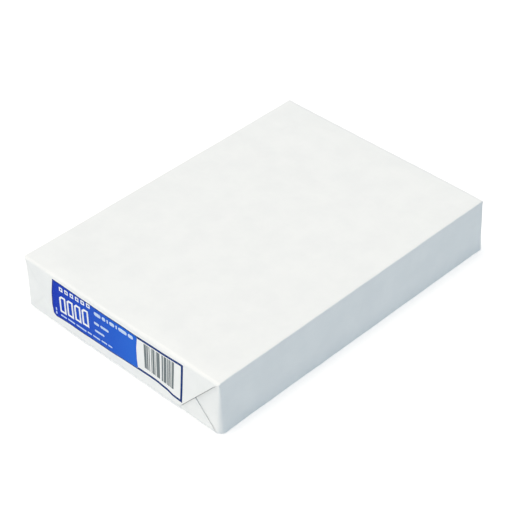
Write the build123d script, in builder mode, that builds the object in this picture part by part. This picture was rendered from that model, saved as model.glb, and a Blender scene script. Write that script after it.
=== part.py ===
"""Wrapped ream of A4 copier paper, lying on its broad underside.

The pack is one sealed solid: a squared stack of sheets inside one sheet of wrapping paper. The wrapper
laps along the underside, and at each short end it is folded in four moves: the two sides are tucked in,
the lower flap is folded up over them, and the upper flap is folded down over all of it.

Frame: origin at the centre of the underside, +Z up, +X across the 210 mm width, +Y along the 297 mm
length. The end that carries the printed panel faces -Y. Millimetres.
"""

import os
from math import radians, tan

from build123d import *

# The sheets
sheet_width = 210.0
sheet_length = 297.0
sheet_count = 500
sheet_caliper = 0.099

# The wrapping paper
wrap_caliper = 0.12
layers_above = 1
layers_below = 2  # the wrapper and its lap
side_play = 0.7  # at each long side, the slack in the wrapper that lets the stack lean
end_play = 0.9  # at each short end, the same
lower_fold_layers = 2  # the lower flap and its gusset, over the tucked sides
upper_fold_layers = 2  # the upper flap and its gusset, over the lower flap

# The eased edges of the pack
top_bend_radius = 3.0  # the soft bend where each upper flap leaves the top
bottom_bend_radius = 1.6  # the firmer bend where each lower flap leaves the underside
long_edge_radius = 0.9
upright_radius = 1.2
knocked_upright_radius = 3.5  # the label end's upright edge at +X, which has been knocked round

# The end folds
upper_flap_margin = 2.0  # between the upper flap's cut edge and the underside
upper_fold_angle = 41.5  # how far each folded side of the upper flap leans in from upright, in degrees
flap_corner_radius = 1.0
lower_flap_rise = 30.0  # to the lower flap's cut edge, which the upper flap hides
lower_fold_angle = 43.5
lower_fold_start = 4.2  # from the pack's corner to the foot of the lower flap's folded side

# The lap along the underside
lap_edge_x = 38.0  # the lap's cut edge, beyond which the underside is one sheet of wrapper higher

# Worked out from the sizes above
pack_height = sheet_count * sheet_caliper + (layers_above + layers_below) * wrap_caliper
pack_width = sheet_width + 2 * (side_play + wrap_caliper)
lower_fold_lift = lower_fold_layers * wrap_caliper
upper_fold_lift = upper_fold_layers * wrap_caliper
pack_length = sheet_length + 2 * (end_play + wrap_caliper + lower_fold_lift + upper_fold_lift)
cutter_margin = 5.0  # how far each cutting outline runs past the pack


def end_plane(facing):
    """The plane of a short end, drawn from outside: facing is -1 for the label end, 1 for the far end."""
    return Plane(
        origin=(0, facing * pack_length / 2, 0), x_dir=(-facing, 0, 0), z_dir=(0, facing, 0)
    )


def upper_flap_outline():
    """The upper flap: full width at the top, with folded sides that lean in to its cut edge."""
    half_top = pack_width / 2
    half_foot = half_top - (pack_height - upper_flap_margin) * tan(radians(upper_fold_angle))
    with BuildSketch() as outline:
        with BuildLine():
            FilletPolyline(
                (-half_top, pack_height),
                (-half_foot, upper_flap_margin),
                (half_foot, upper_flap_margin),
                (half_top, pack_height),
                radius=flap_corner_radius,
            )
            Polyline(
                (half_top, pack_height),
                (half_top, pack_height + cutter_margin),
                (-half_top, pack_height + cutter_margin),
                (-half_top, pack_height),
            )
        make_face()
    return outline.sketch


def lower_flap_outline():
    """The lower flap: widest at the underside, with folded sides that lean in as they rise."""
    half_foot = pack_width / 2 - lower_fold_start
    half_top = half_foot - lower_flap_rise * tan(radians(lower_fold_angle))
    with BuildSketch() as outline:
        with BuildLine():
            Polyline(
                (-half_foot, -cutter_margin),
                (half_foot, -cutter_margin),
                (half_foot, 0),
                (half_top, lower_flap_rise),
                (-half_top, lower_flap_rise),
                (-half_foot, 0),
                close=True,
            )
        make_face()
    return outline.sketch


os.makedirs("parts", exist_ok=True)

with BuildPart() as wrapped_ream:
    # The squared pack, its upright edges eased
    Box(pack_width, pack_length, pack_height, align=(Align.CENTER, Align.CENTER, Align.MIN))
    knocked_upright = wrapped_ream.edges().filter_by(Axis.Z).sort_by(Axis.X)[2:].sort_by(Axis.Y)[0]
    fillet(knocked_upright, knocked_upright_radius)
    sharp_uprights = [
        edge
        for edge in wrapped_ream.edges().filter_by(Axis.Z)
        if edge.center().X < 0 or edge.center().Y > 0
    ]
    fillet(sharp_uprights, upright_radius)

    # The long edges, eased by the pack's outline seen from an end
    with BuildSketch(Plane.XZ):
        with Locations((0, pack_height / 2)):
            RectangleRounded(pack_width, pack_height, long_edge_radius)
    extrude(amount=pack_length, both=True, mode=Mode.INTERSECT)

    # The bends into the end flaps, eased by the pack's outline seen from a long side
    with BuildSketch(Plane.YZ) as side_outline:
        Rectangle(pack_length, pack_height, align=(Align.CENTER, Align.MIN))
        fillet(side_outline.vertices().group_by(Axis.Y)[-1], top_bend_radius)
        fillet(side_outline.vertices().group_by(Axis.Y)[0], bottom_bend_radius)
    extrude(amount=pack_width, both=True, mode=Mode.INTERSECT)

    # Beyond its flaps each end steps back, first to the lower flap and then to the tucked sides
    for facing in (-1, 1):
        for flaps, depth in (
            ((upper_flap_outline(),), upper_fold_lift),
            ((upper_flap_outline(), lower_flap_outline()), upper_fold_lift + lower_fold_lift),
        ):
            with BuildSketch(end_plane(facing)):
                with Locations((0, pack_height / 2)):
                    Rectangle(pack_width + 2 * cutter_margin, pack_height + 2 * cutter_margin)
                add(flaps, mode=Mode.SUBTRACT)
            extrude(amount=-depth, mode=Mode.SUBTRACT)

    # Beyond the lap the underside is one sheet of wrapper higher
    with BuildSketch():
        with Locations((lap_edge_x, 0)):
            Rectangle(pack_width, pack_length + 2 * cutter_margin, align=(Align.MIN, Align.CENTER))
    extrude(amount=wrap_caliper, mode=Mode.SUBTRACT)

wrapped_ream.part.label = "wrapped_ream"
export_step(wrapped_ream.part, "parts/wrapped_ream.step")
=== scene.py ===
"""A wrapped ream of A4 copier paper, dressed for the camera.

One sheet of wrapping paper is folded round the squared pack. The long sides, the top and the underside are
plain. At each short end the sides are tucked in, the lower flap is folded up over them, and the upper flap
is folded down over all of it. A blue and white panel is printed on the upper flap that faces -Y.

Every size is in millimetres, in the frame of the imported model, and becomes metres when a mesh is made.
"""

import logging
import math
from collections.abc import Callable
from dataclasses import dataclass, field
from enum import Enum

import bmesh
import bpy
import numpy as np
from mathutils import Matrix, Vector
from mathutils.geometry import delaunay_2d_cdt


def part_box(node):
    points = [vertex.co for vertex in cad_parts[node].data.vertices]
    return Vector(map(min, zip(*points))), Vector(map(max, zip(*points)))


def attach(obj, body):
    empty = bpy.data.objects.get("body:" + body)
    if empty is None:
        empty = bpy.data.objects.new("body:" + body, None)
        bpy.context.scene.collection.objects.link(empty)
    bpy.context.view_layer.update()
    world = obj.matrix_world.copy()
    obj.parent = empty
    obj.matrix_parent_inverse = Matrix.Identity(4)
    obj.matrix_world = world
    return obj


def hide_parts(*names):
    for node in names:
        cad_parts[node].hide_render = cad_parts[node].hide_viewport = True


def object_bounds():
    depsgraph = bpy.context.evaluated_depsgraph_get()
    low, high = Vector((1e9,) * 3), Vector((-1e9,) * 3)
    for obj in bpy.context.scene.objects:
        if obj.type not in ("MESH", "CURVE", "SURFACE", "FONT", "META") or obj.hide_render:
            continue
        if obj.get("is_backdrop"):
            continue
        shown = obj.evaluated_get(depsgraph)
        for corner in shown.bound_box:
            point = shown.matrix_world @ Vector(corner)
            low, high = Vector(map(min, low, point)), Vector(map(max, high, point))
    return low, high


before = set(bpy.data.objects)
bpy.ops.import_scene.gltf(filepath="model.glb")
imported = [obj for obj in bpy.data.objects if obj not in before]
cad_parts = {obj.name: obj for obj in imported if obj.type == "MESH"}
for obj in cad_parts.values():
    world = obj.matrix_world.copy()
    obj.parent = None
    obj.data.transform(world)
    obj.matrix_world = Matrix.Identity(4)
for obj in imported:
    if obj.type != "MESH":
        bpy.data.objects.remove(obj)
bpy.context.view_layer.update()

MM = 0.001
WELD_DISTANCE = 1e-3  # points nearer than this are one point
ROOM = (0.81, 1.6, 0.36)  # what the lean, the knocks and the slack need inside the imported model's box
TINY = 1e-12  # keeps a division off zero

Points = np.ndarray
Faces = list[tuple[int, ...]]
Share = float | Points  # one number for all the points, or one for each
Ring = tuple[Points, Points]  # flat points, and each one's level or depth
LevelRule = Callable[[Points, Points], Points]
Pair = tuple[float, float]
Triple = tuple[float, float, float]
Socket = bpy.types.NodeSocket
log = logging.getLogger("ream")


class Corner(Enum):
    """The pack's four upright edges, by the signs of their x and y."""

    LABEL_LEFT = (-1, -1)
    LABEL_RIGHT = (1, -1)
    FAR_LEFT = (-1, 1)
    FAR_RIGHT = (1, 1)


class Facing(Enum):
    """Which way a short end faces along Y."""

    LABEL = -1
    FAR = 1


def ease_in(share: Points) -> Points:
    """Rises smoothly from 0 to 1 as the share does, and stays there."""
    held = np.clip(share, 0.0, 1.0)
    return held * held * (3.0 - 2.0 * held)


def graded(low: float, high: float, finest: float, widest: float, stops: tuple[float, ...] = ()) -> Points:
    """Lays lines from low to high, close together at both ends and wider apart between.

    Args:
        low: Where the first line lies.
        high: Where the last line lies.
        finest: The gap beside each end.
        widest: The largest gap, in the middle.
        stops: Places that have to have a line of their own.

    Returns:
        The places of the lines, in rising order.
    """
    growth = 1.25
    too_near = 0.3 * finest + 0.02 * widest
    steps = [0.0]
    gap = finest
    while gap < widest:
        steps.append(steps[-1] + gap)
        gap *= growth
    near = np.array(steps)
    middle_count = max(2, math.ceil((high - low - 2 * near[-1]) / widest) + 1)
    middle = np.linspace(low + near[-1], high - near[-1], middle_count)
    lines = np.concatenate([low + near[:-1], middle, high - near[:-1][::-1]])
    for stop in stops:
        clear = (np.abs(lines - stop) > too_near) | (lines == low) | (lines == high)
        lines = np.sort(np.append(lines[clear], stop))
    return lines


def round_section(u: Points, v: Points, half_u: Points, half_v: Points, radius: Points) -> Ring:
    """Turns the square corners of a section into arcs, with what lies inside them moved alike.

    Args:
        u: First coordinates, measured from the section's middle.
        v: Second coordinates, measured the same way.
        half_u: Half the section's size along u.
        half_v: Half its size along v.
        radius: The arcs' radius at each point.

    Returns:
        The moved u and v.
    """
    past_u = np.abs(u) - (half_u - radius)
    past_v = np.abs(v) - (half_v - radius)
    in_corner = (past_u > 0) & (past_v > 0)
    span = np.maximum(np.hypot(past_u, past_v), 1e-9)
    share = np.maximum(past_u, past_v) / span
    new_u = np.where(in_corner, np.sign(u) * (half_u - radius + past_u * share), u)
    new_v = np.where(in_corner, np.sign(v) * (half_v - radius + past_v * share), v)
    return new_u, new_v


def walked_along(line: Points) -> Points:
    """How far along a line each of its points lies."""
    return np.concatenate([[0.0], np.cumsum(np.linalg.norm(np.diff(line, axis=0), axis=1))])


def closed(loop: Points) -> Points:
    """An outline with its first point repeated at its end."""
    return np.vstack([loop, loop[:1]])


def grid_faces(rows: int, columns: int) -> Faces:
    """The four-sided faces between rows and columns of points, numbered row by row."""
    return [
        (row * columns + column, row * columns + column + 1,
         (row + 1) * columns + column + 1, (row + 1) * columns + column)
        for row in range(rows - 1)
        for column in range(columns - 1)
    ]


def distance_to_line(points: Points, line: Points) -> Points:
    """Measures how far flat points lie from an open line of straight runs.

    Args:
        points: The flat points.
        line: The line's points, in order.

    Returns:
        Each point's distance from the line.
    """
    start, run = line[:-1], np.diff(line, axis=0)
    squared = np.maximum((run**2).sum(1), TINY)
    offset = points[:, None, :] - start[None]
    share = np.clip((offset * run[None]).sum(2) / squared[None], 0.0, 1.0)
    return np.linalg.norm(offset - share[..., None] * run[None], axis=2).min(1)


def inside(points: Points, loop: Points) -> Points:
    """Finds which flat points lie inside a closed outline.

    Args:
        points: The flat points.
        loop: The outline's points in order, not closed.

    Returns:
        True for each point inside.
    """
    x, y = points[:, :1], points[:, 1:]
    x0, y0 = loop.T
    x1, y1 = np.roll(loop, -1, axis=0).T
    rise = np.where(y1 == y0, TINY, y1 - y0)
    crosses = ((y0 > y) != (y1 > y)) & (x < (x1 - x0) * (y - y0) / rise + x0)
    return crosses.sum(1) % 2 == 1


def fill(loop: Points, spread: Points, clearance: float, hole: Points | None = None) -> tuple[Points, Faces]:
    """Fills a closed outline with triangles.

    Args:
        loop: The outline's points in order, not closed.
        spread: Points to use inside it.
        clearance: How near the outline they may come.
        hole: An inner outline to leave open.

    Returns:
        The flat points and the triangles between them.
    """
    outlines = [loop] if hole is None else [loop, hole]
    kept = spread
    edges = []
    first = 0
    for outline in outlines:
        within = inside(kept, outline)
        kept = kept[within if outline is loop else ~within]
        kept = kept[distance_to_line(kept, closed(outline)) > clearance]
        size = len(outline)
        edges += [(first + step, first + (step + 1) % size) for step in range(size)]
        first += size
    given = np.vstack([*outlines, kept])
    found = delaunay_2d_cdt([Vector(point) for point in given], edges, [list(range(len(loop)))], 1, 1e-7)
    flat = np.array([tuple(point) for point in found[0]])
    for index, sources in enumerate(found[3]):
        if sources:
            flat[index] = given[sources[0]]
    triangles = [tuple(face) for face in found[2]]
    if hole is not None:
        middles = np.array([flat[list(face)].mean(0) for face in triangles])
        triangles = [face for face, gone in zip(triangles, inside(middles, hole)) if not gone]
    return flat, triangles


def outward(line: Points) -> Points:
    """Finds the normals of a line that runs with its own shape on the left.

    Args:
        line: The line's points, in order.

    Returns:
        A normal of length 1 at each point, pointing right.
    """
    run = np.gradient(line, axis=0)
    run /= np.maximum(np.linalg.norm(run, axis=1, keepdims=True), TINY)
    return np.column_stack([run[:, 1], -run[:, 0]])


class ShaderSheet:
    """A material's node sheet, with short calls for the few nodes that the finishes use."""

    def __init__(self, name: str) -> None:
        """Starts a material that has its surface shader and output only.

        Args:
            name: The material's name.
        """
        self.material = bpy.data.materials.new(name)
        self.material.use_nodes = True
        self.nodes = self.material.node_tree.nodes
        self.links = self.material.node_tree.links
        self.surface = self.nodes["Principled BSDF"]

    def place(self) -> Socket:
        """The point's place in the pack's frame, in metres."""
        return self.nodes.new("ShaderNodeTexCoord").outputs["Object"]

    def part_of(self, place: Socket, axis: str) -> Socket:
        """Takes one coordinate of a place.

        Args:
            place: The place.
            axis: The coordinate's letter.

        Returns:
            The coordinate.
        """
        node = self.nodes.new("ShaderNodeSeparateXYZ")
        self.links.new(place, node.inputs[0])
        return node.outputs[axis]

    def attribute(self, name: str) -> Socket:
        """Reads a number that the mesh holds at each point.

        Args:
            name: The number's name in the mesh.

        Returns:
            The number.
        """
        node = self.nodes.new("ShaderNodeAttribute")
        node.attribute_name = name
        return node.outputs["Fac"]

    def noise(self, place: Socket, scale: float, detail: float, roughness: float) -> Socket:
        """Lays fine or broad noise over the surface.

        Args:
            place: Where each point is.
            scale: How many of its cells there are to a metre.
            detail: How many finer layers are added.
            roughness: How strong the finer layers are.

        Returns:
            The noise, about 0.5.
        """
        node = self.nodes.new("ShaderNodeTexNoise")
        for name, number in (("Scale", scale), ("Detail", detail), ("Roughness", roughness)):
            node.inputs[name].default_value = number
        self.links.new(place, node.inputs["Vector"])
        return node.outputs["Fac"]

    def spread(self, value: Socket, span: Pair, onto: Pair = (0.0, 1.0)) -> Socket:
        """Stretches a value from one range to another, and holds it there.

        Args:
            value: The value.
            span: The range that it is taken from.
            onto: The range that it is brought to.

        Returns:
            The stretched value.
        """
        node = self.nodes.new("ShaderNodeMapRange")
        for name, number in zip(("From Min", "From Max", "To Min", "To Max"), (*span, *onto)):
            node.inputs[name].default_value = number
        self.links.new(value, node.inputs["Value"])
        return node.outputs["Result"]

    def multiply(self, first: Socket, second: Socket) -> Socket:
        """Multiplies one value by another.

        Args:
            first: One value.
            second: The other.

        Returns:
            Their product.
        """
        node = self.nodes.new("ShaderNodeMath")
        node.operation = "MULTIPLY"
        self.links.new(first, node.inputs[0])
        self.links.new(second, node.inputs[1])
        return node.outputs[0]

    def mix_colour(self, share: Socket, first: Triple | Socket, second: Triple | Socket) -> Socket:
        """Goes from one colour to another.

        Args:
            share: How far to go, from 0 to 1.
            first: The colour at 0.
            second: The colour at 1.

        Returns:
            The mixed colour.
        """
        node = self.nodes.new("ShaderNodeMix")
        node.data_type = "RGBA"
        self.links.new(share, node.inputs["Factor"])
        sockets = [item for item in node.inputs if item.type == "RGBA"]
        for value, socket in zip((first, second), sockets):
            if isinstance(value, tuple):
                socket.default_value = (*value, 1.0)
            else:
                self.links.new(value, socket)
        return next(item for item in node.outputs if item.type == "RGBA")

    def colour(self, value: Socket) -> None:
        """Gives the surface its colour."""
        self.links.new(value, self.surface.inputs["Base Color"])

    def roughness(self, value: Socket) -> None:
        """Gives the surface its roughness."""
        self.links.new(value, self.surface.inputs["Roughness"])

    def bump(self, height: Socket, depth: float) -> None:
        """Gives the surface its fine relief.

        Args:
            height: How high each point stands, from 0 to 1.
            depth: The relief's whole height, in metres.
        """
        node = self.nodes.new("ShaderNodeBump")
        node.inputs["Strength"].default_value = 1.0
        node.inputs["Distance"].default_value = depth
        self.links.new(height, node.inputs["Height"])
        self.links.new(node.outputs["Normal"], self.surface.inputs["Normal"])


@dataclass(frozen=True)
class PaperFinish:
    """White wrapping paper, lightly coated: faint mottling, fine fibre, scuffed folds and painted shade."""

    name: str = "wrapping_paper"
    slot: str = "wrapper_paper"
    colour: Triple = (0.838, 0.846, 0.838)
    shade: Triple = (0.806, 0.816, 0.812)
    # The darker colour of scuffed folds, also used as painted shade beside the bends into the end flaps.
    worn_and_shaded: Triple = (0.775, 0.785, 0.785)
    # Painted shade: a near-black colour in the gaps under the flaps' folded sides, where shadow falls.
    in_gap: Triple = (0.10, 0.11, 0.12)
    roughness: Pair = (0.45, 0.59)
    mottle_size: float = 0.022  # metres, like the next three
    speckle_size: float = 0.0484
    fibre_size: float = 0.0009
    fibre_depth: float = 0.000010

    def material(self) -> bpy.types.Material:
        """Builds the paper's material.

        Returns:
            The material.
        """
        sheet = ShaderSheet(self.name)
        place = sheet.place()
        mottle = sheet.noise(place, 1.0 / self.mottle_size, detail=4.0, roughness=0.6)
        tint = sheet.mix_colour(sheet.spread(mottle, (0.35, 0.65)), self.colour, self.shade)
        speckle = sheet.noise(place, 1.0 / self.speckle_size, detail=6.0, roughness=0.7)
        # Scuffed folds and edges, and painted shade beside the end bends, darken the paper; painted shade
        # also darkens the gaps under the flaps.
        darkened = sheet.multiply(sheet.attribute("fold_wear"), sheet.spread(speckle, (0.35, 0.75)))
        lit = sheet.mix_colour(darkened, tint, self.worn_and_shaded)
        sheet.colour(sheet.mix_colour(sheet.attribute("in_gap"), lit, self.in_gap))
        sheet.roughness(sheet.spread(mottle, (0.2, 0.8), self.roughness))
        fibre = sheet.noise(place, 1.0 / self.fibre_size, detail=3.0, roughness=0.6)
        sheet.bump(fibre, self.fibre_depth)
        return sheet.material


@dataclass(frozen=True)
class InkFinish:
    """Printing ink on paper: a tone that may change across the panel, with a fine uneven lay."""

    name: str
    slot: str
    start: Triple
    end: Triple
    tone_span: Pair = (-0.075, 0.02)  # the x of the start tone and of the end tone, in metres
    roughness: Pair = (0.40, 0.52)
    gloss: float = 0.04
    grain_size: float = 0.0007  # metres
    grain_share: float = 0.03
    grain_depth: float = 0.000004  # metres

    def material(self) -> bpy.types.Material:
        """Builds the ink's material.

        Returns:
            The material.
        """
        sheet = ShaderSheet(self.name)
        place = sheet.place()
        across = sheet.spread(sheet.part_of(place, "X"), self.tone_span)
        tone = sheet.mix_colour(across, self.start, self.end)
        grain = sheet.noise(place, 1.0 / self.grain_size, detail=3.0, roughness=0.65)
        pale = tuple(channel + (1.0 - channel) * self.grain_share for channel in self.end)
        sheet.colour(sheet.mix_colour(sheet.spread(grain, (0.45, 0.95), (0.0, 0.8)), tone, pale))
        sheet.roughness(sheet.spread(grain, (0.2, 0.8), self.roughness))
        sheet.surface.inputs["Specular IOR Level"].default_value = self.gloss
        sheet.bump(grain, self.grain_depth)
        return sheet.material


class Ink(Enum):
    """The panel's inks."""

    NAVY = InkFinish("navy_ink", "panel_navy", (0.002, 0.015, 0.200), (0.005, 0.032, 0.170))
    BLUE = InkFinish("blue_ink", "panel_blue", (0.000, 0.020, 0.420), (0.014, 0.132, 0.640))
    GREY = InkFinish("grey_ink", "panel_grey", (0.16, 0.19, 0.20), (0.17, 0.20, 0.21))
    WHITE = InkFinish("white_ink", "panel_white", (0.86, 0.88, 0.90), (0.86, 0.88, 0.90))
    PALE = InkFinish("pale_ink", "panel_white", (0.45, 0.58, 0.85), (0.55, 0.68, 0.88))


def dress(piece: bpy.types.Object, finish: PaperFinish | InkFinish) -> None:
    """Gives a piece its finish, and lets it ride on the pack.

    Args:
        piece: The piece.
        finish: What it is made of.
    """
    piece.data.materials.append(finish.material())
    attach(piece, "root")


@dataclass(frozen=True)
class Ripple:
    """A slight unevenness of slack paper: a sum of a few long waves that run all ways."""

    seed: int
    reach: float
    longest: float = 160.0
    shortest: float = 28.0
    waves: int = 8
    fading: float = 0.6  # how fast the shorter waves grow lower
    usual_peak: float = 2.2  # how high the sum stands before it is brought to the reach

    def at(self, u: Points, v: Points) -> Points:
        """Works out the rise or fall at each place.

        Args:
            u: Places along one way of the face.
            v: Places along the other.

        Returns:
            The rise or fall, the reach at most or little more.
        """
        rng = np.random.default_rng(self.seed)
        total = np.zeros(np.broadcast(u, v).shape)
        for wave in range(self.waves):
            length = self.longest * (self.shortest / self.longest) ** (wave / (self.waves - 1))
            turn = rng.uniform(0, math.pi)
            phase = rng.uniform(0, 2 * math.pi)
            along = u * math.cos(turn) + v * math.sin(turn)
            total += (length / self.longest) ** self.fading * np.sin(2 * math.pi * along / length + phase)
        return total * self.reach / self.usual_peak


@dataclass(frozen=True)
class Layers:
    """How far each layer of an end lies below the upper flap's face, and where the lower flap starts."""

    tuck_depth: float = 1.05
    tuck_start: float = 6.0
    lower_foot_inset: float = 3.0
    lower_lift: float = 0.58
    lift_run_at_foot: float = 6.0
    lift_run_at_end: float = 2.2
    rim_spring: float = 0.6
    rim_width: float = 7.0
    rim_run_at_top: float = 14.0
    rim_run_at_foot: float = 9.0


@dataclass(frozen=True)
class Knock:
    """A place where a corner has been pushed in or stands out, fading with distance."""

    corner: tuple[int, int, int]
    push: Triple
    reach: float


@dataclass(frozen=True)
class PackForm:
    """The pack's outer form: a box with eased edges, a slight lean, and the slack of its wrapper."""

    half_width: float
    half_length: float
    height: float
    long_edge_radius: float = 0.9
    label_bend_radius: float = 2.4
    far_bend_radius: float = 2.4
    bend_swell: float = 1.2
    swell_middle: float = 56.0
    swell_reach: float = 28.0
    bottom_bend_radius: float = 1.6
    # Painted shade beside the bends into the end flaps, which tones down their highlight: how dark, and over
    # how many millimetres it fades.
    bend_shade: float = 0.8
    bend_shade_width: float = 5.0
    upright_radii: dict[Corner, Pair] = field(  # each upright edge's, at its top and its foot
        default_factory=lambda: {
            Corner.LABEL_LEFT: (1.6, 1.2),
            Corner.LABEL_RIGHT: (1.3, 6.0),
            Corner.FAR_LEFT: (1.4, 1.8),
            Corner.FAR_RIGHT: (1.2, 1.4),
        }
    )
    upright_easing: float = 1.4
    lean_x: float = 0.44
    lean_y: Pair = (0.21, 0.95)  # the label end's, then the far end's
    crown: float = 0.35
    crown_reach: float = 14.0
    knocks: tuple[Knock, ...] = (
        Knock((-1, -1, 1), (-0.50, -0.13, 0.06), reach=8.0),
        Knock((-1, 1, 1), (-0.21, 0.14, 0.38), reach=8.0),
        Knock((1, 1, 1), (-0.40, -0.30, -0.02), reach=7.0),
        Knock((1, 1, -1), (0.61, 0.40, 0.0), reach=9.0),
        Knock((1, -1, -1), (0.36, -0.21, 0.0), reach=12.0),
        Knock((1, -1, -1), (0.0, -0.75, 0.0), reach=32.0),
        Knock((-1, -1, -1), (-0.55, 0.0, 0.0), reach=12.0),
        Knock((-1, -1, -1), (0.0, 0.42, 0.0), reach=60.0),
    )
    layers: Layers = Layers()
    top_slack: Ripple = Ripple(seed=3, reach=0.07)
    right_slack: Ripple = Ripple(seed=67, reach=0.14, longest=120.0)
    left_slack: Ripple = Ripple(seed=18, reach=0.14, longest=120.0)
    label_end_slack: Ripple = Ripple(seed=69, reach=0.16, longest=90.0, shortest=14.0)
    far_end_slack: Ripple = Ripple(seed=48, reach=0.20, longest=90.0, shortest=14.0)

    def lower_foot(self) -> float:
        """How far from the middle the lower flap's folded side starts, at the underside."""
        return self.half_width - self.layers.lower_foot_inset

    def tuck_level(self, s: Points, z: Points) -> Points:
        """How far below the upper flap the tucked side lies: nothing at the pack's top corners."""
        from_corner = np.hypot(self.half_width - np.abs(s), self.height - z)
        return -self.layers.tuck_depth * ease_in(from_corner / self.layers.tuck_start)

    def top_bend_radius(self, x: Points, y: Points) -> Points:
        """Rounds the edges where the end flaps leave the top, softer along a stretch of the label end.

        Args:
            x: Places across the width.
            y: Places along the length.

        Returns:
            The radius at each place.
        """
        softer = self.bend_swell * np.exp(-(((x - self.swell_middle) / self.swell_reach) ** 2))
        return np.where(y < 0, self.label_bend_radius + softer, self.far_bend_radius)

    def bend_painted_shade(self, distance: Points) -> Points:
        """How much painted shade darkens the paper beside the bend into an end flap."""
        return self.bend_shade * (1.0 - ease_in(distance / self.bend_shade_width))

    def upright_radius(self, x: Points, y: Points, z: Points) -> Points:
        """Rounds the upright edges, each in its own way from its foot to its top.

        Args:
            x: Places across the width.
            y: Places along the length.
            z: Places up the height.

        Returns:
            The radius of the edge nearest to each place.
        """
        radius = np.zeros(np.shape(z))
        share = np.clip(1.0 - z / self.height, 0.0, 1.0) ** self.upright_easing
        for corner, (at_top, at_foot) in self.upright_radii.items():
            side, facing = corner.value
            here = (np.sign(x) == side) & (np.sign(y) == facing)
            radius = np.where(here, at_top + (at_foot - at_top) * share, radius)
        return radius

    def place(self, sharp: Points, floor_level: Points) -> Points:
        """Moves points of the sharp-edged box to where the real pack has them.

        Args:
            sharp: Points on, or just under, the faces of the sharp box.
            floor_level: How far in the end stands at the underside, over each point.

        Returns:
            The moved points.
        """
        x, y, z = sharp.T
        middle = self.height / 2
        x, lifted = round_section(x, z - middle, self.half_width, middle, self.long_edge_radius)
        upper = lifted > 0
        bend = np.where(upper, self.top_bend_radius(x, y), self.bottom_bend_radius)
        end_here = self.half_length + np.where(upper, 0.0, floor_level)
        y, lifted = round_section(y, lifted, end_here, middle, bend)
        z = lifted + middle
        corner_end = self.half_length + self.tuck_level(np.full_like(z, self.half_width), z)
        x, y = round_section(x, y, self.half_width, corner_end, self.upright_radius(x, y, z))
        return self.loosen(np.column_stack([x, y, z]))

    def loosen(self, tight: Points) -> Points:
        """Adds the lean of the stack, the slack of the wrapper and the knocks.

        Args:
            tight: Points of the tight form.

        Returns:
            The moved points.
        """
        x, y, z = tight.T
        up = z / self.height
        along_x = x / self.half_width
        along_y = y / self.half_length
        side_slack = np.where(x > 0, self.right_slack.at(y, z), self.left_slack.at(y, z))
        end_slack = np.where(y < 0, self.label_end_slack.at(x, z), self.far_end_slack.at(x, z))
        at_label, at_far = self.lean_y
        lean_y = 0.5 * (at_label + at_far + (at_far - at_label) * along_y)
        near_end = ease_in((np.abs(y) - self.half_length + self.crown_reach) / self.crown_reach)
        moved_x = x + (0.5 - up) * self.lean_x + along_x * np.abs(along_x) ** 3 * side_slack
        moved_y = y + (0.5 - up) * lean_y + along_y * np.abs(along_y) ** 9 * end_slack
        moved_z = z + up**3 * (self.top_slack.at(x, y) - self.crown * near_end)
        moved = np.column_stack([moved_x, moved_y, moved_z])
        size = np.array([self.half_width, self.half_length, self.height / 2])
        for knock in self.knocks:
            corner = size * np.array(knock.corner) + np.array([0.0, 0.0, self.height / 2])
            away = np.linalg.norm(tight - corner, axis=1) / knock.reach
            moved += np.exp(-(away**2))[:, None] * np.array(knock.push)
        return moved


@dataclass
class MeshDraft:
    """Gathers patches of a surface, and makes one welded mesh of them."""

    name: str
    points: list[Points] = field(default_factory=list)
    faces: Faces = field(default_factory=list)
    shares: dict[str, list[Points]] = field(default_factory=lambda: {"fold_wear": [], "in_gap": []})
    count: int = 0

    def add(self, points: Points, faces: Faces, fold_wear: Share = 0.0, in_gap: Share = 0.0) -> None:
        """Adds a patch.

        Args:
            points: Its points, in their final places.
            faces: Its faces, by the points' own numbers.
            fold_wear: How much scuffing and painted shade beside the end bends darken each point, 0 to 1.
            in_gap: How much painted shade darkens each point in the gaps under the flaps, from 0 to 1.
        """
        self.points.append(points)
        self.faces.extend(tuple(corner + self.count for corner in face) for face in faces)
        for name, share in (("fold_wear", fold_wear), ("in_gap", in_gap)):
            self.shares[name].append(np.broadcast_to(share, len(points)).astype(np.float32))
        self.count += len(points)

    def finish(self) -> bpy.types.Object:
        """Welds the patches, turns every face outwards and links the piece to the scene.

        Returns:
            The finished piece.
        """
        mesh = bpy.data.meshes.new(self.name)
        corners = np.vstack(self.points) * MM
        mesh.from_pydata(corners.tolist(), [], self.faces)
        for name, parts in self.shares.items():
            mesh.attributes.new(name, "FLOAT", "POINT").data.foreach_set("value", np.concatenate(parts))
        shape = bmesh.new()
        shape.from_mesh(mesh)
        bmesh.ops.remove_doubles(shape, verts=shape.verts, dist=WELD_DISTANCE * MM)
        bmesh.ops.dissolve_degenerate(shape, edges=shape.edges, dist=WELD_DISTANCE * MM)
        bmesh.ops.recalc_face_normals(shape, faces=shape.faces)
        open_edges = sum(1 for edge in shape.edges if len(edge.link_faces) != 2)
        if open_edges:
            log.warning("%s has %d open edges", self.name, open_edges)
        shape.to_mesh(mesh)
        shape.free()
        mesh.polygons.foreach_set("use_smooth", [True] * len(mesh.polygons))
        mesh.update()
        piece = bpy.data.objects.new(self.name, mesh)
        bpy.context.scene.collection.objects.link(piece)
        return piece


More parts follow.
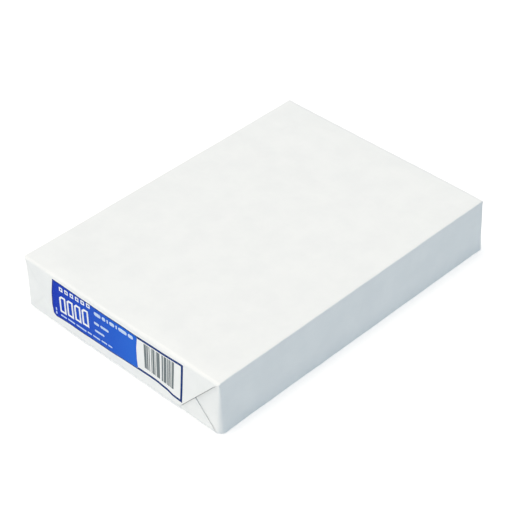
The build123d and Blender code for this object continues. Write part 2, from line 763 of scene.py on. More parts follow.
@dataclass(frozen=True)
class FoldedEdge:
    """A folded edge of paper that stands off the layer beneath it.

    It is drawn across the edge as a run of rings: the half round of the fold, then its underside going back
    into the gap.
    """

    line: Points
    normals: Points
    roll: Points
    reach: Points

    def ring(self, turn: float) -> Ring:
        """Finds a ring of the half round.

        Args:
            turn: 0 for its face and 180 for its underside, in degrees.

        Returns:
            The flat points of the ring, and their depth below the layer's face.
        """
        angle = math.radians(turn)
        out = self.roll * (math.sin(angle) - 1.0)
        return self.line + self.normals * out[:, None], self.roll * (1.0 - math.cos(angle))

    def inner_ring(self) -> Ring:
        """The deepest line of the gap's roof, and its depth."""
        back = -(self.roll + self.reach)
        return self.line + self.normals * back[:, None], 2.0 * self.roll


@dataclass
class FoldedEnd:
    """One short end of the wrapper, with its tucked sides, lower flap and upper flap.

    Flat points of the end are s, z: s runs to the right as the end is looked at, and z runs up.
    """

    form: PackForm
    facing: Facing
    columns: Points  # the lines across the width, shared with the top
    floor_columns: Points  # the lines across the width, shared with the underside
    rows: Points  # the lines up the height, shared with the long sides
    upper_angle: float = 41.3
    upper_inset: float = 0.9
    inset_run: float = 8.0
    upper_margin: float = 2.0
    foot_radius: float = 1.2
    upper_reach: float = 3.0
    upper_growth: float = 8.0
    corner_room: float = 0.85
    lower_slope: float = 0.98
    lower_bow: float = 0.001
    lower_reach: float = 1.5
    lower_roll_share: float = 0.28
    upper_roll_share: float = 0.34
    widest_roll: float = 0.16
    ring_turns: tuple[float, ...] = (0.0, 30.0, 60.0, 90.0, 125.0, 180.0)
    fold_gaps: Pair = (0.2, 1.1)  # between a line's points, beside its ends and in its middle
    cut_gaps: Pair = (0.5, 1.1)
    lower_gaps: Pair = (0.15, 0.9)
    bend_points: int = 6
    row_inset: float = 0.4
    shade_rows: tuple[float, ...] = (-0.9, -0.5, -0.25, 0.0, 0.25, 0.6, 1.1, 1.8)
    point_clearance: float = 0.12
    wear_width: float = 1.6
    upper_wear: float = 0.8
    lower_wear: float = 0.6
    # How far the painted shade in the gaps under the upper flap's folded sides reaches, and how it fades at
    # their ends.
    shade_run: float = 0.8
    shade_lead: float = 1.0
    shade_end_runs: Pair = (5.0, 4.0)  # at the top and at the foot of the upper flap's folded sides
    left_pull: float = 0.158
    pull_start: float = 15.0
    pull_run: float = 45.0
    pull_end_run: float = 6.0
    release_tries: int = 24

    def __post_init__(self) -> None:
        """Works out the folded edges, and the points that fill the layers."""
        self.upper = self.upper_fold()
        self.hidden, _ = self.upper.inner_ring()
        self.lower_line, self.meeting = self.lower_fold_line()
        self.lower = self.lower_fold()
        self.grid = np.array([(s, z) for z in self.rows for s in self.columns])
        near_fold = [self.upper.line - self.upper.normals * inset for inset in self.shade_rows]
        self.beneath = np.vstack([self.grid, *near_fold])
        self.floor_line = np.sort(-self.facing.value * self.floor_columns)

    def lean(self) -> float:
        """How far the upper flap's folded sides lean in, over one millimetre of height."""
        return math.tan(math.radians(self.upper_angle))

    def upper_fold(self) -> FoldedEdge:
        """Draws the upper flap's whole folded and cut edge, from one top corner to the other.

        Returns:
            The folded edge.
        """
        form = self.form
        foot = form.half_width - self.upper_inset - (form.height - self.upper_margin) * self.lean()
        corner = np.array([-foot, self.upper_margin])
        top = np.array([-form.half_width + self.upper_inset, form.height])
        slant = math.dist(corner, top)
        turn = math.radians(90.0 - self.upper_angle)
        cut_back = self.foot_radius * math.tan(turn / 2)
        along = graded(0.0, slant - cut_back, *self.fold_gaps)
        side = top + along[:, None] * ((corner - top) / slant)
        side[:, 0] -= self.upper_inset * (1.0 - ease_in(along / self.inset_run))
        arc_middle = corner + np.array([cut_back, self.foot_radius])
        angles = np.linspace(math.pi * 1.5 - turn, math.pi * 1.5, self.bend_points)[1:-1]
        arc = arc_middle + self.foot_radius * np.column_stack([np.cos(angles), np.sin(angles)])
        level = graded(-foot + cut_back, 0.0, *self.cut_gaps)
        half = np.vstack([side, arc, np.column_stack([level, np.full(len(level), self.upper_margin)])])
        mirror = np.array([-1.0, 1.0])
        line = np.vstack([half, half[:-1][::-1] * mirror])
        walked = walked_along(line)
        grown = ease_in(np.minimum(walked, walked[-1] - walked) / self.upper_growth)
        stand = self.face_level(*line.T) - form.tuck_level(*line.T)
        roll = np.minimum(self.widest_roll, self.upper_roll_share * stand)
        to_corners = [np.linalg.norm(line - place, axis=1) for place in (corner, corner * mirror)]
        room = self.corner_room * np.maximum(np.minimum(*to_corners), cut_back) / math.tan(turn / 2)
        reach = np.maximum(np.minimum(self.upper_reach, room - roll) * grown, 0.0)
        return FoldedEdge(line, outward(line), roll, reach)

    def lower_fold_line(self) -> tuple[Points, int]:
        """Draws the lower flap's folded side at +s, and finds where it meets the upper flap's gap.

        Returns:
            The line's points, from its foot to where it ends under the upper flap, and the number of the
            hidden line's point that it ends at.
        """
        form = self.form
        z = graded(0.0, form.height / 2, *self.lower_gaps)
        inset = form.layers.lower_foot_inset + self.lower_slope * z + self.lower_bow * z**2
        visible = inset < (form.height - z) * self.lean()
        shown = np.column_stack([form.half_width - inset, z])[visible]
        to_upper = np.linalg.norm(self.upper.line - shown[-1], axis=1)
        to_upper[: len(to_upper) // 2] = np.inf
        meeting = int(np.argmin(to_upper))
        share = np.linspace(0.0, 1.0, self.bend_points)[1:, None]
        return np.vstack([shown, shown[-1] + (self.hidden[meeting] - shown[-1]) * share]), meeting

    def lower_fold(self) -> FoldedEdge:
        """Gives the lower flap's folded side its roundness and its gap.

        Returns:
            The folded edge.
        """
        line = self.lower_line
        stand = self.lift(*line.T)
        reach = self.lower_reach * (stand / self.form.layers.lower_lift)
        return FoldedEdge(line, outward(line), self.lower_roll_share * stand, reach)

    def face_level(self, s: Points, z: Points) -> Points:
        """Works out how far the upper flap springs out along its folded sides.

        Args:
            s: Places across the end.
            z: Places up it.

        Returns:
            The flap's level at each place.
        """
        layers = self.form.layers
        grown = ease_in((self.form.height - z) / layers.rim_run_at_top)
        grown = grown * ease_in((z - self.upper_margin) / layers.rim_run_at_foot)
        inside_by = np.maximum(self.inside_fold(s, z), 0.0)
        return layers.rim_spring * np.exp(-inside_by / layers.rim_width) * grown

    def lift(self, s: Points, z: Points) -> Points:
        """Works out how far the lower flap stands off the tucked side beneath it.

        Args:
            s: Places across the end.
            z: Places up it.

        Returns:
            The height off the tucked side at each place.
        """
        layers = self.form.layers
        (foot_s, foot_z), (end_s, end_z) = self.lower_line[0], self.lower_line[-1]
        from_foot = np.hypot(np.abs(s) - foot_s, z - foot_z)
        from_end = np.hypot(np.abs(s) - end_s, z - end_z)
        grown = ease_in(from_foot / layers.lift_run_at_foot) * ease_in(from_end / layers.lift_run_at_end)
        return layers.lower_lift * grown

    def lower_level(self, s: Points, z: Points) -> Points:
        """The lower flap's level."""
        return self.form.tuck_level(s, z) + self.lift(s, z)

    def floor_level(self, s: Points) -> Points:
        """Works out how far in the end stands at the underside.

        Args:
            s: Places across the end.

        Returns:
            The end's level at each place.
        """
        flat = np.zeros(np.shape(s))
        on_flap = np.abs(s) <= self.form.lower_foot() + 1e-9
        return np.where(on_flap, self.lower_level(s, flat), self.form.tuck_level(s, flat))

    def place(self, flat: Points, level: Points) -> Points:
        """Puts flat points of the end at their levels, on the real pack.

        Args:
            flat: The flat points.
            level: How far each stands off the upper flap's face; below it is negative.

        Returns:
            The points in the pack's frame.
        """
        s, z = flat.T
        s = s - self.pull(s, z)
        facing = self.facing.value
        y = facing * (self.form.half_length + level)
        return self.form.place(np.column_stack([-facing * s, y, z]), self.floor_level(s))

    def pull(self, s: Points, z: Points) -> Points:
        """Works out how far the label end's left folds lie further out than its right ones.

        Args:
            s: Places across the end.
            z: Places up it.

        Returns:
            How far each place moves to the left.
        """
        if self.facing is Facing.FAR:
            return np.zeros(np.shape(s))
        near_fold = ease_in((-s - self.pull_start) / self.pull_run)
        off_edges = ease_in(z / self.upper_margin) * ease_in((self.form.height - z) / self.pull_end_run)
        return self.left_pull * (self.form.half_width + s) * near_fold * off_edges

    def released(self, flat: Points) -> Points:
        """Finds the flat points that the pull brings to the given places.

        Args:
            flat: Where the points have to come to lie.

        Returns:
            Where they lie before the pull.
        """
        s, z = flat.T
        start = s
        for _ in range(self.release_tries):
            start = s + self.pull(start, z)
        return np.column_stack([start, z])

    def inside_fold(self, s: Points, z: Points) -> Points:
        """Works out how far inside the upper flap's folded side a place is; outside it is negative.

        Args:
            s: Places across the end.
            z: Places up it.

        Returns:
            Each place's distance from the folded side.
        """
        below_top = self.form.height - z
        past = self.form.half_width - self.upper_inset - np.abs(s) - below_top * self.lean()
        return past * math.cos(math.radians(self.upper_angle))

    def along_fold(self, flat: Points) -> Points:
        """Goes from 0 at the ends of the upper flap's folded sides to 1 along them.

        Args:
            flat: The flat points.

        Returns:
            The share at each point.
        """
        at_top, at_foot = self.shade_end_runs
        from_top = self.form.height - flat[:, 1]
        from_foot = flat[:, 1] - self.upper_margin - 0.5
        return ease_in(from_top / at_top) * ease_in(from_foot / at_foot)

    def gap_shade(self, flat: Points) -> Points:
        """How much painted shade darkens a place on a lower layer under the upper flap's folded sides, from
        0 to 1.
        """
        return ease_in(self.inside_fold(*flat.T) / self.shade_run + self.shade_lead) * self.along_fold(flat)

    def strip(self, draft: MeshDraft, rings: list[Ring], darkening: float, shaded: float = 0.0) -> None:
        """Adds the faces between one ring of flat points, with their levels, and the next.

        Args:
            draft: The mesh under way.
            rings: The rings, from the flap's face to the bottom of the gap.
            darkening: How scuffed the fold is.
            shaded: How dark the painted shade in the gap is, at its deepest.
        """
        placed = np.vstack([self.place(flat, level) for flat, level in rings])
        # Painted shade darkens the rings that turn back into the gap under the fold.
        shares = [
            shaded * ease_in((index - 3) / 2.0) * self.along_fold(flat)
            for index, (flat, _) in enumerate(rings)
        ]
        draft.add(placed, grid_faces(len(rings), len(rings[0][0])), darkening, np.concatenate(shares))

    def patch(
        self, draft: MeshDraft, loop: Points, level_at: LevelRule, spread: Points, folds: Points,
        under_flap: bool = True,
    ) -> None:
        """Adds a filled patch of one layer.

        Args:
            draft: The mesh under way.
            loop: The patch's outline.
            level_at: The layer's level at any place.
            spread: Points to use inside the outline.
            folds: A line that the paper is scuffed along.
            under_flap: Whether the patch goes on beneath the upper flap.
        """
        flat, triangles = fill(loop, spread, self.point_clearance)
        darkening = 1.0 - np.clip(distance_to_line(flat, folds) / self.wear_width, 0.0, 1.0)
        # Beside the bend into the end flap the paper also gets painted shade.
        darkening = np.maximum(darkening, self.form.bend_painted_shade(self.form.height - flat[:, 1]))
        # Painted shade where the layer lies in the gap under the upper flap.
        shade = self.gap_shade(flat) if under_flap else 0.0
        draft.add(self.place(flat, level_at(flat[:, 0], flat[:, 1])), triangles, darkening, shade)

    def build(self, draft: MeshDraft) -> None:
        """Adds the whole end to the wrapper's mesh.

        Args:
            draft: The wrapper's mesh under way.
        """
        self.add_upper_flap(draft)
        self.add_lower_fold(draft)
        self.add_lower_flap(draft)
        self.add_tucked_sides(draft)

    def covered(self) -> slice:
        """The part of the upper flap's hidden line that has the lower flap beneath it."""
        return slice(len(self.hidden) - 1 - self.meeting, self.meeting + 1)

    def add_upper_flap(self, draft: MeshDraft) -> None:
        """Adds the upper flap, its folded edge and the roof of its gap.

        Args:
            draft: The wrapper's mesh under way.
        """
        upper = self.upper
        face_ring, _ = upper.ring(self.ring_turns[0])
        across = self.columns[1:-1][::-1]
        along_top = np.column_stack([across, np.full(len(across), self.form.height)])
        spread = np.vstack([self.grid, face_ring - upper.normals * self.row_inset])
        loop = np.vstack([face_ring, along_top])
        self.patch(draft, loop, self.face_level, spread, upper.line, under_flap=False)
        rim = self.face_level(*upper.line.T)
        rings = [(face_ring, self.face_level(*face_ring.T))]
        for flat, depth in (*(upper.ring(turn) for turn in self.ring_turns[1:]), upper.inner_ring()):
            rings.append((flat, rim - depth))
        hidden_level = self.form.tuck_level(*self.hidden.T)
        hidden_level[self.covered()] = self.lower_level(*self.hidden[self.covered()].T)
        rings.append((self.hidden, hidden_level))
        self.strip(draft, rings, self.upper_wear, shaded=1.0)

    def add_lower_fold(self, draft: MeshDraft) -> None:
        """Adds the lower flap's folded side, and the same mirrored.

        Args:
            draft: The wrapper's mesh under way.
        """
        base = self.lower_level(*self.lower_line.T)
        rings = []
        for flat, depth in (*map(self.lower.ring, self.ring_turns), self.lower.inner_ring()):
            rings.append((flat, base - depth))
        gap, _ = self.lower.inner_ring()
        rings.append((gap, self.form.tuck_level(*gap.T)))
        for side in (1.0, -1.0):
            turned = [(flat * np.array([side, 1.0]), level) for flat, level in rings]
            self.strip(draft, turned, self.lower_wear)

    def add_lower_flap(self, draft: MeshDraft) -> None:
        """Adds the lower flap, up to where the upper flap hides it.

        Args:
            draft: The wrapper's mesh under way.
        """
        lip, _ = self.lower.ring(self.ring_turns[0])
        mirrored = lip * np.array([-1.0, 1.0])
        foot = self.form.lower_foot()
        under = self.floor_line[np.abs(self.floor_line) < foot - 1e-6]
        along_floor = np.column_stack([under, np.zeros(len(under))])
        hidden = self.hidden[self.covered()][::-1]
        loop = np.vstack([lip[:-1], hidden, mirrored[:-1][::-1], along_floor])
        spread = np.vstack([self.beneath, lip - self.lower.normals * self.row_inset])
        self.patch(draft, loop, self.lower_level, spread, self.lower_line)

    def add_tucked_sides(self, draft: MeshDraft) -> None:
        """Adds the tucked side at +s, and the same mirrored.

        Args:
            draft: The wrapper's mesh under way.
        """
        form = self.form
        gap, _ = self.lower.inner_ring()
        outer = self.floor_line[self.floor_line > form.lower_foot() + 1e-6][::-1]
        upright = np.column_stack([np.full(len(self.rows) - 2, form.half_width), self.rows[1:-1][::-1]])
        floor_run = np.column_stack([outer, np.zeros(len(outer))])
        tuck = np.vstack([self.hidden[self.meeting + 1 :], upright, floor_run, gap])
        mirror = np.array([-1.0, 1.0])
        self.patch(draft, tuck[::-1], form.tuck_level, self.beneath, self.lower_line)
        self.patch(draft, tuck * mirror, form.tuck_level, self.beneath, self.lower_line * mirror)


@dataclass
class Wrapper:
    """The folded sheet of wrapping paper: everything of the ream that shows."""

    form: PackForm
    paper: PaperFinish = PaperFinish()
    finest: float = 0.2
    widest: float = 2.3
    widest_row: float = 2.0
    lap_edge: float = 38.0
    lap_thickness: float = 0.12
    lap_run: float = 0.15
    lap_clear: float = 3.0
    blend_length: float = 20.0
    edge_rub: float = 0.6
    edge_rub_width: float = 2.0

    def __post_init__(self) -> None:
        """Lays out the lines that neighbouring faces share, and the two ends."""
        form = self.form
        foot = form.lower_foot()
        stops = (-foot, foot, self.lap_edge, self.lap_edge + self.lap_run)
        self.columns = graded(-form.half_width, form.half_width, self.finest, self.widest)
        self.floor_columns = graded(-form.half_width, form.half_width, self.finest, self.widest, stops)
        self.lengths = graded(-form.half_length, form.half_length, self.finest, self.widest)
        self.rows = graded(0.0, form.height, self.finest, self.widest_row)
        self.ends = {
            facing: FoldedEnd(form, facing, self.columns, self.floor_columns, self.rows) for facing in Facing
        }

    def floor_level(self, x: Points) -> Points:
        """How far in the ends stand at the underside."""
        return self.ends[Facing.LABEL].floor_level(x)

    def drawn_in(self, y: Points, level: Points) -> Points:
        """Draws lengthwise lines in towards the recessed ends, over the last stretch.

        Args:
            y: Places along the length.
            level: How far in the end stands, beside each place.

        Returns:
            The moved places.
        """
        into_blend = np.abs(y) - self.form.half_length + self.blend_length
        near_end = np.clip(into_blend / self.blend_length, 0, 1)
        return np.sign(y) * (np.abs(y) + level * near_end)

    def add_face(self, draft: MeshDraft, x: Points, y: Points, z: Points) -> None:
        """Adds a plain face of the box.

        Args:
            draft: The mesh under way.
            x: The x of the sharp face's points, in rows and columns.
            y: Their y.
            z: Their z.
        """
        sharp = np.column_stack([x.ravel(), y.ravel(), z.ravel()])
        placed = self.form.place(sharp, self.floor_level(sharp[:, 0]))
        below_top = self.form.height - sharp[:, 2]
        to_long_edge = self.form.half_width - np.abs(sharp[:, 0]) + below_top
        to_end = np.abs(self.form.half_length - np.abs(sharp[:, 1])) + below_top
        darkened = self.edge_rub * (1.0 - np.clip(to_long_edge / self.edge_rub_width, 0.0, 1.0))
        # Long edges are scuffed; beside the bends into the end flaps the paper gets painted shade.
        draft.add(placed, grid_faces(*x.shape), np.maximum(darkened, self.form.bend_painted_shade(to_end)))

    def build(self) -> bpy.types.Object:
        """Makes the wrapper and dresses it.

        Returns:
            The wrapper piece.
        """
        form = self.form
        draft = MeshDraft("ream_wrapper")
        y, x = np.meshgrid(self.lengths, self.columns, indexing="ij")
        self.add_face(draft, x, y, np.full_like(x, form.height))
        y, x = np.meshgrid(self.lengths, self.floor_columns, indexing="ij")
        beyond_lap = x > self.lap_edge + 0.5 * self.lap_run
        clear_of_ends = np.abs(y) < form.half_length - self.lap_clear
        lap = np.where(beyond_lap & clear_of_ends, self.lap_thickness, 0.0)
        self.add_face(draft, x, self.drawn_in(y, self.floor_level(x)), lap)
        z, y = np.meshgrid(self.rows, self.lengths, indexing="ij")
        beside = np.full_like(z, form.half_width)
        for side in (-1.0, 1.0):
            self.add_face(draft, side * beside, self.drawn_in(y, form.tuck_level(beside, z)), z)
        for end in self.ends.values():
            end.build(draft)
        piece = draft.finish()
        dress(piece, self.paper)
        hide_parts("wrapped_ream")
        return piece


def resample(loop: Points, spacing: float) -> Points:
    """Adds points along the sides of a closed outline.

    Args:
        loop: The outline's points in order, not closed.
        spacing: The longest that a side may be.

    Returns:
        The outline with its added points.
    """
    whole = closed(loop)
    result = []
    for start, end, far in zip(whole[:-1], whole[1:], np.diff(walked_along(whole))):
        steps = max(1, math.ceil(far / spacing))
        result += [start + (end - start) * step / steps for step in range(steps)]
    return np.array(result)


def inset_loop(loop: Points, distance: Points) -> Points:
    """Moves a closed outline inwards, with its corners kept square.

    Args:
        loop: The outline, with its shape on the left as it runs.
        distance: How far each point's sides move.

    Returns:
        The inner outline.
    """
    after = np.roll(loop, -1, axis=0) - loop
    after /= np.linalg.norm(after, axis=1, keepdims=True)
    inward = np.column_stack([-after[:, 1], after[:, 0]])
    before = np.roll(inward, 1, axis=0)
    share = np.maximum(1.0 + (inward * before).sum(1), 0.5)
    return loop + (inward + before) * (distance / share)[:, None]


def left_part(loop: Points, division: Points) -> Points:
    """Keeps what lies left of a dividing line, and closes it along that line.

    Args:
        loop: A closed outline that starts at its lower left and runs to the right.
        division: The dividing line, from below the outline to above it.

    Returns:
        The closed outline of the left part.
    """
    clearance = 0.3
    side_points = 24
    gone = loop[:, 0] > np.interp(loop[:, 1], division[:, 1], division[:, 0]) - clearance
    first, last = np.flatnonzero(gone)[[0, -1]]
    heights = np.linspace(loop[first, 1], loop[last, 1], side_points)
    side = np.column_stack([np.interp(heights, division[:, 1], division[:, 0]), heights])
    return np.vstack([loop[:first], side, loop[last + 1 :]])


def bar_outline(s: float, z: float, width: float, height: float, radius: float) -> Points:
    """Draws a bar with rounded corners.

    Args:
        s: Its left side.
        z: Its foot.
        width: Its width.
        height: Its height.
        radius: Its corners' radius, if the bar has room for it.

    Returns:
        The bar's outline.
    """
    radius = min(radius, 0.5 * width, 0.5 * height)
    corners = (
        (width - radius, radius, -90), (width - radius, height - radius, 0),
        (radius, height - radius, 90), (radius, radius, 180),
    )
    result = []
    for across, up, start in corners:
        for turn in np.radians(np.linspace(start, start + 90, 5)):
            result.append((s + across + radius * math.cos(turn), z + up + radius * math.sin(turn)))
    return np.array(result)


def sheet_outline(s: float, z: float, width: float, height: float, cut: float) -> Points:
    """An upright sheet with its upper left corner cut off, from its lower left corner."""
    return np.array([
        (s, z), (s + width, z), (s + width, z + height), (s + cut, z + height), (s, z + height - cut),
    ])


@dataclass
class InkLayer(MeshDraft):
    """A thin layer of ink that follows the end's surface."""

    base: float = -0.03  # the level of its underside, off the paper's face
    top: float = 0.03  # the level of its face
    spacing: float = 1.2
    point_clearance: float = 0.3

    def lay(self, end: FoldedEnd, loop: Points, hole: Points | None = None) -> None:
        """Adds one closed shape.

        Args:
            end: The end that it is printed on.
            loop: The shape's outline.
            hole: An inner outline to leave open.
        """
        loop = resample(loop, self.spacing)
        hole = None if hole is None else resample(hole, self.spacing)
        low, high = loop.min(0), loop.max(0)
        across, up = (np.arange(low[axis], high[axis], self.spacing) for axis in (0, 1))
        spread = np.array([(s, z) for s in across for z in up])
        flat, triangles = fill(loop, spread, self.point_clearance, hole)
        flat = end.released(flat)
        size = len(flat)
        paper = end.face_level(*flat.T)
        face = end.place(flat, paper + self.top)
        back = end.place(flat, paper + self.base)
        rim: dict[tuple[int, int], None] = {}
        for triangle in triangles:
            for first, second in zip(triangle, (*triangle[1:], triangle[0])):
                if (second, first) in rim:
                    del rim[second, first]
                else:
                    rim[first, second] = None
        faces = list(triangles)
        faces += [tuple(corner + size for corner in reversed(triangle)) for triangle in triangles]
        faces += [(second, first, first + size, second + size) for first, second in rim]
        self.add(np.vstack([face, back]), faces)

    def dressed(self, ink: Ink) -> bpy.types.Object:
        """Makes the layer's piece.

        Args:
            ink: What it is printed with.

        Returns:
            The finished piece.
        """
        piece = self.finish()
        dress(piece, ink.value)
        return piece


@dataclass(frozen=True)
class MarkRow:
    """A row of like outlines, climbing a little from left to right."""

    start: Pair  # the first one's lower left corner
    step: Pair  # from each to the next
    count: int
    size: Pair
    line: Pair  # the outline's thickness, at its sides and at its foot and head
    corner: float


@dataclass(frozen=True)
class DashRow:
    """A row of dashes of different lengths, climbing a little from left to right."""

    start: Pair  # the first one's lower left corner
    rise: float  # over each millimetre
    thickness: float
    dashes: tuple[float, ...]


@dataclass(frozen=True)
class PrintedPanel:
    """The blue and white panel printed on the label end's upper flap. Places are s, z on that end.

    Its lines waver a little, as the print on slack paper does.
    """

    bottom: tuple[Pair, ...] = (
        (-71.6, 9.0), (-67.3, 9.4), (-37.3, 9.8), (-5.2, 10.3), (20.4, 11.4), (32.4, 11.7), (41.6, 11.4),
        (50.7, 10.4), (56.5, 8.4), (66.6, 8.1),
    )
    top: tuple[Pair, ...] = ((69.4, 45.8), (21.3, 44.4), (-49.3, 45.1), (-72.4, 45.6))
    left: tuple[Pair, ...] = ((-74.9, 30.7), (-75.5, 18.9), (-74.6, 11.2))
    division: tuple[Pair, ...] = ((20.2, 9.0), (19.2, 20.4), (19.5, 31.8), (21.5, 46.0))
    thin_border: float = 0.9
    thick_border: float = 2.2
    bars: tuple[Pair, ...] = (  # each bar's left side and width
        (27.9, 2.4), (30.8, 1.5), (33.2, 0.9), (35.7, 0.8), (37.1, 1.9), (39.7, 0.6), (41.4, 3.5),
        (47.1, 1.4), (49.3, 2.7), (52.8, 0.9), (54.3, 1.4), (56.4, 0.7), (57.8, 2.1),
    )
    bar_foot: Pair = (17.8, -0.07)  # at the first bar, and what each millimetre to the right adds
    bar_head: Pair = (41.4, 0.035)
    bar_slant: Pair = (0.4, 0.06)
    bar_corner: float = 0.2
    sheets: MarkRow = MarkRow((-66.3, 17.0), (8.7, 0.95), 4, (7.2, 16.2), (1.8, 1.9), 2.4)
    squares: MarkRow = MarkRow((-65.3, 37.9), (6.2, 0.42), 6, (3.9, 4.0), (1.1, 1.1), 0.4)
    dash_rows: tuple[DashRow, ...] = (
        DashRow((-25.8, 37.3), 0.018, 3.4, (7.4, 4.0, 1.6, 5.4, 1.6, 9.2, 5.6)),
        DashRow((-26.6, 28.2), 0.020, 2.5, (5.6, 9.2)),
        DashRow((-26.4, 20.9), 0.000, 2.1, (10.4,)),
        DashRow((-66.2, 12.8), 0.036, 1.5, (6.6, 8.4, 11.6, 5.0, 8.0, 6.4, 4.4)),
    )
    dash_gap: float = 1.3
    dash_roundness: float = 0.45
    upright_dashes: tuple[tuple[float, float, float, float], ...] = (  # s, z, width and height
        (-71.9, 11.8, 1.5, 2.6), (-71.8, 15.4, 1.5, 3.0),
    )
    upright_corner: float = 0.5
    spacing: float = 1.6
    mark_top: float = 0.05  # the white and the pale ink lie on the blue

    def build(self, end: FoldedEnd) -> list[bpy.types.Object]:
        """Makes the panel's inks and dresses them.

        Args:
            end: The end whose upper flap the panel is printed on.

        Returns:
            The ink pieces.
        """
        outer = resample(np.array(self.bottom + self.top + self.left), self.spacing)
        beside_bars = outer[:, 0] > self.division[0][0]
        inner = inset_loop(outer, np.where(beside_bars, self.thick_border, self.thin_border))
        border = InkLayer("panel_border")
        border.lay(end, outer, hole=inner)
        blue = InkLayer("panel_blue_field")
        blue.lay(end, left_part(inner, np.array(self.division)))
        return [
            border.dressed(Ink.NAVY), blue.dressed(Ink.BLUE), self.grey_bars(end), self.white_marks(end),
            self.pale_marks(end),
        ]

    def grey_bars(self, end: FoldedEnd) -> bpy.types.Object:
        """Makes the grey upright bars in the white part.

        Args:
            end: The end that they are printed on.

        Returns:
            The grey ink.
        """
        layer = InkLayer("panel_bars")
        for at, width in self.bars:
            along = at - self.bars[0][0]
            foot, head, slant = (
                first + change * along for first, change in (self.bar_foot, self.bar_head, self.bar_slant)
            )
            shape = bar_outline(at, foot, width, head - foot, self.bar_corner)
            shape[:, 0] -= slant * (head - shape[:, 1]) / (head - foot)
            layer.lay(end, shape)
        return layer.dressed(Ink.GREY)

    def white_marks(self, end: FoldedEnd) -> bpy.types.Object:
        """Makes the tall sheet outlines, each with a cut corner, and the row of small square rings.

        Args:
            end: The end that they are printed on.

        Returns:
            The white ink.
        """
        layer = InkLayer("panel_white_marks", base=0.0, top=self.mark_top)
        for row, outline in ((self.sheets, sheet_outline), (self.squares, bar_outline)):
            (width, height), (side, foot) = row.size, row.line
            for index in range(row.count):
                s, z = row.start[0] + row.step[0] * index, row.start[1] + row.step[1] * index
                hole = outline(s + side, z + foot, width - 2 * side, height - 2 * foot, row.corner / 2)
                layer.lay(end, outline(s, z, width, height, row.corner), hole)
        return layer.dressed(Ink.WHITE)

    def pale_marks(self, end: FoldedEnd) -> bpy.types.Object:
        """Makes the short rounded dashes, in rows, where a pack carries its details.

        Args:
            end: The end that they are printed on.

        Returns:
            The pale ink.
        """
        layer = InkLayer("panel_pale_marks", base=0.0, top=self.mark_top)
        for row in self.dash_rows:
            at = row.start[0]
            for dash in row.dashes:
                foot = row.start[1] + row.rise * (at - row.start[0])
                shape = bar_outline(at, foot, dash, row.thickness, self.dash_roundness * row.thickness)
                layer.lay(end, shape)
                at += dash + self.dash_gap
        for dash in self.upright_dashes:
            layer.lay(end, bar_outline(*dash, self.upright_corner))
        return layer.dressed(Ink.PALE)


@dataclass(frozen=True)
class Light:
    """A soft light far off: where it comes from, its strength, its colour, and its breadth in degrees."""

    name: str
    source: Triple
    strength: float
    colour: Triple
    softness: float


@dataclass(frozen=True)
class CameraView:
    """Where the camera stands, from the point that it aims at: degrees, and millimetres."""

    target: Triple = (0.0, 0.0, 24.9)
    shift: Pair = (-2.29, -2.85)
    azimuth: float = 44.56
    elevation: float = 38.48
    roll: float = -0.70
    distance: float = 1389.6
    lens: float = 124.80
    sensor: float = 36.0
    sight: float = 200000.0


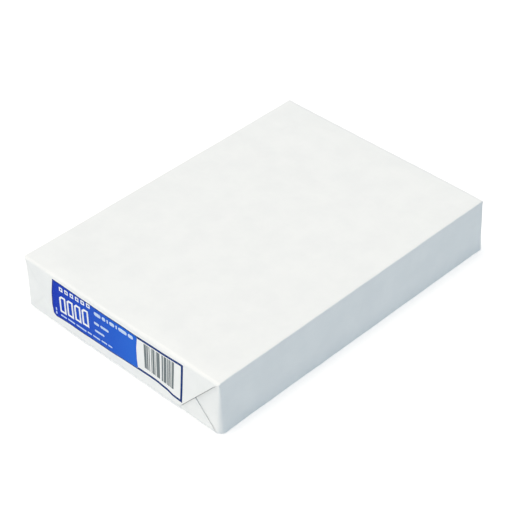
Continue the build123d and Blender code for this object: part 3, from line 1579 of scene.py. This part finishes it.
@dataclass(frozen=True)
class Studio:
    """A white floor, a broad light overhead, a weaker one before the label end, and dim surroundings."""

    view: CameraView = CameraView()
    floor_reach: float = 60.0  # metres
    floor_lines: int = 9
    floor_tones: tuple[Triple, Triple] = ((0.60, 0.60, 0.60), (0.62, 0.62, 0.62))
    floor_glow: float = 0.45
    floor_roughness: float = 0.9
    floor_gloss: float = 0.1
    sky: Triple = (0.0, 0.16, 0.29)
    overhead: Light = Light("overhead", (-0.06, -0.04, 0.99), 3.27, (1.0, 0.850, 0.715), 44.0)
    front: Light = Light("front", (-0.27, -0.95, 0.14), 1.36, (1.0, 0.87, 0.72), 40.0)

    def build(self) -> None:
        """Sets the studio up."""
        self.floor()
        self.lights()
        self.camera()

    def floor(self) -> None:
        """Lays the floor, which glows a little so that the pack's shadow stays faint."""
        mesh = bpy.data.meshes.new("floor")
        lines = np.linspace(-self.floor_reach, self.floor_reach, self.floor_lines)
        mesh.from_pydata([(x, y, 0.0) for y in lines for x in lines], [], grid_faces(len(lines), len(lines)))
        piece = bpy.data.objects.new("floor", mesh)
        bpy.context.scene.collection.objects.link(piece)
        sheet = ShaderSheet("floor_white")
        grain = sheet.noise(sheet.place(), 6.0, detail=2.0, roughness=0.5)
        sheet.colour(sheet.mix_colour(grain, *self.floor_tones))
        surface = sheet.surface.inputs
        surface["Roughness"].default_value = self.floor_roughness
        surface["Specular IOR Level"].default_value = self.floor_gloss
        surface["Emission Color"].default_value = (1.0, 1.0, 1.0, 1.0)
        surface["Emission Strength"].default_value = self.floor_glow
        mesh.materials.append(sheet.material)
        piece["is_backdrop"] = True

    def lights(self) -> None:
        """Lights the scene."""
        world = bpy.data.worlds.new("studio")
        world.use_nodes = True
        sky = world.node_tree.nodes["Background"]
        sky.inputs["Color"].default_value = (*self.sky, 1.0)
        sky.inputs["Strength"].default_value = 1.0
        bpy.context.scene.world = world
        for light in (self.overhead, self.front):
            lamp = bpy.data.lights.new(light.name, "SUN")
            lamp.energy = light.strength
            lamp.color = light.colour
            lamp.angle = math.radians(light.softness)
            holder = bpy.data.objects.new(light.name, lamp)
            holder.rotation_euler = Vector(light.source).to_track_quat("Z", "Y").to_euler()
            bpy.context.scene.collection.objects.link(holder)

    def camera(self) -> None:
        """Places the camera."""
        view = self.view
        azimuth, elevation, roll = map(math.radians, (view.azimuth, view.elevation, view.roll))
        level_reach = math.cos(elevation)
        back = Vector((
            math.sin(azimuth) * level_reach, -math.cos(azimuth) * level_reach, math.sin(elevation),
        ))
        level = back.to_track_quat("Z", "Y").to_matrix()
        target = Vector(view.target) * MM + level @ Vector((*view.shift, 0.0)) * MM
        lens = bpy.data.cameras.new("camera")
        lens.lens = view.lens
        lens.sensor_width = view.sensor
        lens.clip_end = view.sight * MM
        holder = bpy.data.objects.new("camera", lens)
        turned = (level @ Matrix.Rotation(roll, 3, "Z")).to_4x4()
        holder.matrix_world = Matrix.Translation(target + back * view.distance * MM) @ turned
        bpy.context.scene.collection.objects.link(holder)
        bpy.context.scene.camera = holder
        bpy.context.scene.view_settings.view_transform = "Standard"


def main() -> None:
    """Builds the studio, the wrapper and its print, and reports each piece."""
    logging.basicConfig(level=logging.INFO, format="%(name)s: %(message)s")
    Studio().build()
    _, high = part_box("wrapped_ream")
    wrapper = Wrapper(PackForm(*(np.array(high) / MM - np.array(ROOM))))
    for piece in (wrapper.build(), *PrintedPanel().build(wrapper.ends[Facing.LABEL])):
        finish = piece.data.materials[0].name
        log.info("%s: %d faces of %s", piece.name, len(piece.data.polygons), finish)
    shown_low, shown_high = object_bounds()
    for end, corner in (("from", shown_low), ("to", shown_high)):
        log.info("size %s %s", end, [round(value / MM, 2) for value in corner])


if __name__ == "__main__":
    main()
